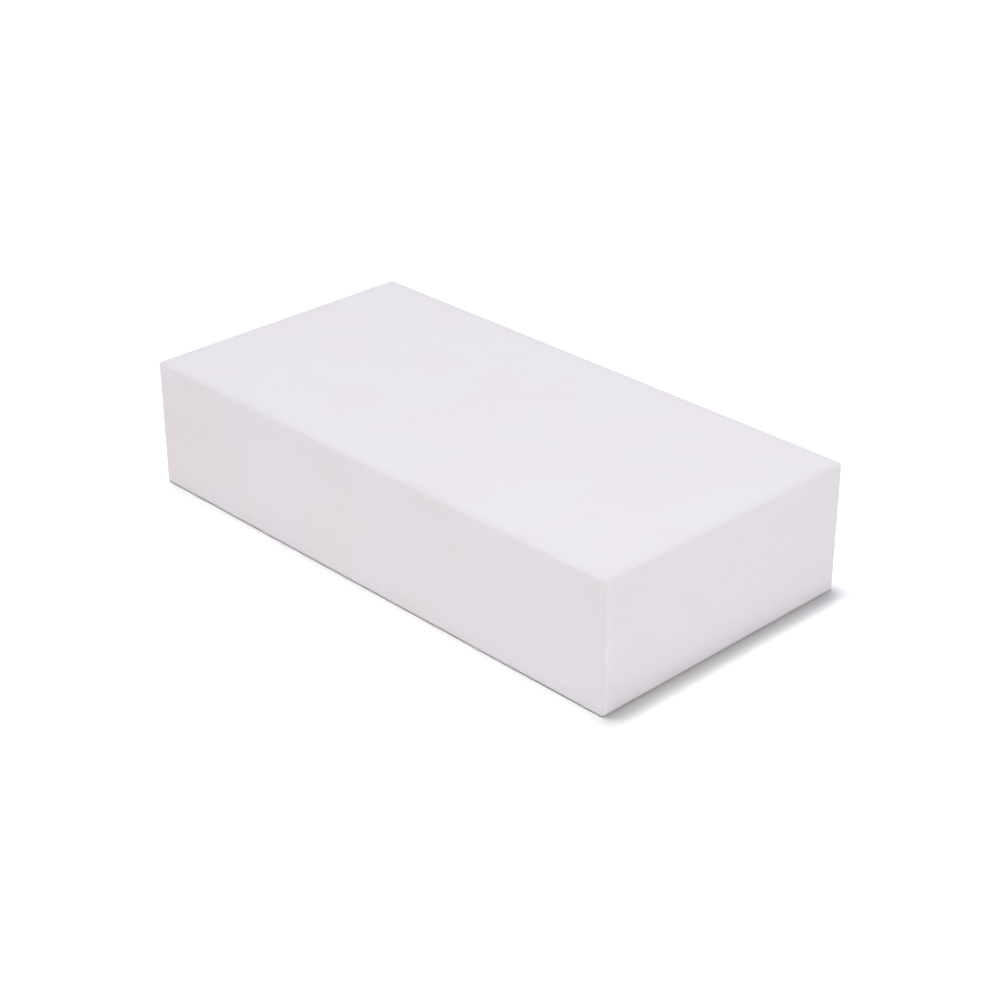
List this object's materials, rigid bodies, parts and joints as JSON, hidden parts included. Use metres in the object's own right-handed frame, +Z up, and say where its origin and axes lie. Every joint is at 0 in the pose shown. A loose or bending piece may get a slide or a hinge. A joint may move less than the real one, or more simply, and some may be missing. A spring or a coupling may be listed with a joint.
{
  "type": "nail buffer block",
  "caption": "Flat rectangular nail buffer block: a foam bar faced with fine abrasive paper on its four long faces, with softly rounded edges and bare ends.",
  "frame": {"origin": "centre of the rectangle the block rests on", "axes": "+X along the block's length, +Y across its width towards the back, +Z up through its thickness"},
  "size_m": [0.095, 0.048, 0.0206],
  "materials": {
    "foam": "matte",
    "grit": "matte",
    "paper": "matte",
    "glue": "satin"
  },
  "bodies": {
    "root": {"foam_core": "foam", "top_grit_coat": "grit", "top_backing_paper": "paper", "top_glue_film": "glue", "bottom_grit_coat": "grit", "bottom_backing_paper": "paper", "bottom_glue_film": "glue", "front_grit_coat": "grit", "front_backing_paper": "paper", "front_glue_film": "glue", "back_grit_coat": "grit", "back_backing_paper": "paper", "back_glue_film": "glue"}
  },
  "joints": []
}
